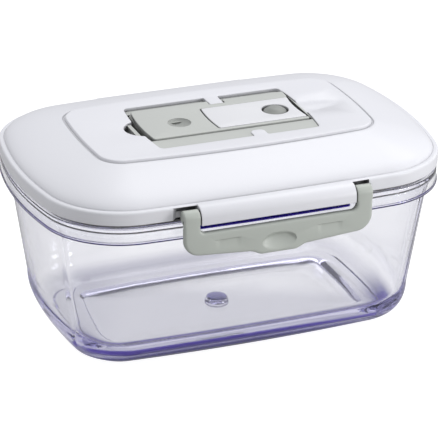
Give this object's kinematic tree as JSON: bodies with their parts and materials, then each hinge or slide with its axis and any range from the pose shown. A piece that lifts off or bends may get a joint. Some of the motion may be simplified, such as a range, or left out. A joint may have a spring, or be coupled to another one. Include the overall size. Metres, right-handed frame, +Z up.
{
  "type": "vacuum seal canister",
  "caption": "Clear food canister with a white domed lid, side latches, and a lever pump with a release button let into the lid.",
  "frame": {"origin": "on the table, under the centre of the canister", "axes": "+X along the length towards the release button, +Y towards the rear latch, +Z up"},
  "size_m": [0.23, 0.1672, 0.1154],
  "materials": {
    "clear_tub": "clear, polished",
    "white_shell": "gloss",
    "white_inner": "gloss",
    "white_slab": "satin",
    "pump_grey": "satin",
    "button_grey": "satin",
    "latch_grey": "satin",
    "grey_silicone": "matte",
    "pale_silicone": "matte",
    "pin_steel": "drawn wire"
  },
  "bodies": {
    "container": {"tub": "clear_tub"},
    "lid": {"lid_cover": "white_shell", "lid_inner_plate": "white_inner", "lid_seal": "grey_silicone", "pump_tray": "pump_grey", "handle_hinge_pin": "pin_steel", "pump_cylinder": "white_inner", "cylinder_gasket": "grey_silicone", "intake_valve": "pale_silicone", "rod_guide": "white_inner", "release_spring": "pin_steel"},
    "handle": {"pump_handle": "pump_grey", "handle_slab": "white_slab"},
    "piston": {"piston": "white_inner", "piston_cup": "grey_silicone", "piston_cross_pin": "pin_steel"},
    "release_valve": {"release_button": "button_grey", "release_plug": "pale_silicone"},
    "front_latch": {"front_latch": "latch_grey"},
    "rear_latch": {"rear_latch": "latch_grey"}
  },
  "joints": [
    {"name": "lid_lift", "type": "slide", "parent": "container", "child": "lid", "axis": [0, 0, 1], "range_m": [0, 0.07]},
    {"name": "front_latch_hinge", "type": "hinge", "parent": "lid", "child": "front_latch", "pos_m": [0, -0.0799, 0.0957], "axis": [-1, 0, 0], "range_deg": [-4, 115]},
    {"name": "rear_latch_hinge", "type": "hinge", "parent": "lid", "child": "rear_latch", "pos_m": [0, 0.0799, 0.0957], "axis": [1, 0, 0], "range_deg": [-4, 115]},
    {"name": "handle_hinge", "type": "hinge", "parent": "lid", "child": "handle", "pos_m": [-0.0412, 0, 0.1094], "axis": [0, -1, 0], "range_deg": [0, 34]},
    {"name": "piston_slide", "type": "slide", "parent": "lid", "child": "piston", "axis": [0, 0, 1], "range_m": [0, 0.01116]},
    {"name": "release_press", "type": "slide", "parent": "lid", "child": "release_valve", "axis": [0, 0, -1], "range_m": [0, 0.002], "stiffness_N_per_m": 400, "springref_m": -0.003, "deforming": ["release_spring"]}
  ],
  "couplings": [
    {"joint": "piston_slide", "follows": "handle_hinge", "m_per_rad": 0.0188}
  ]
}
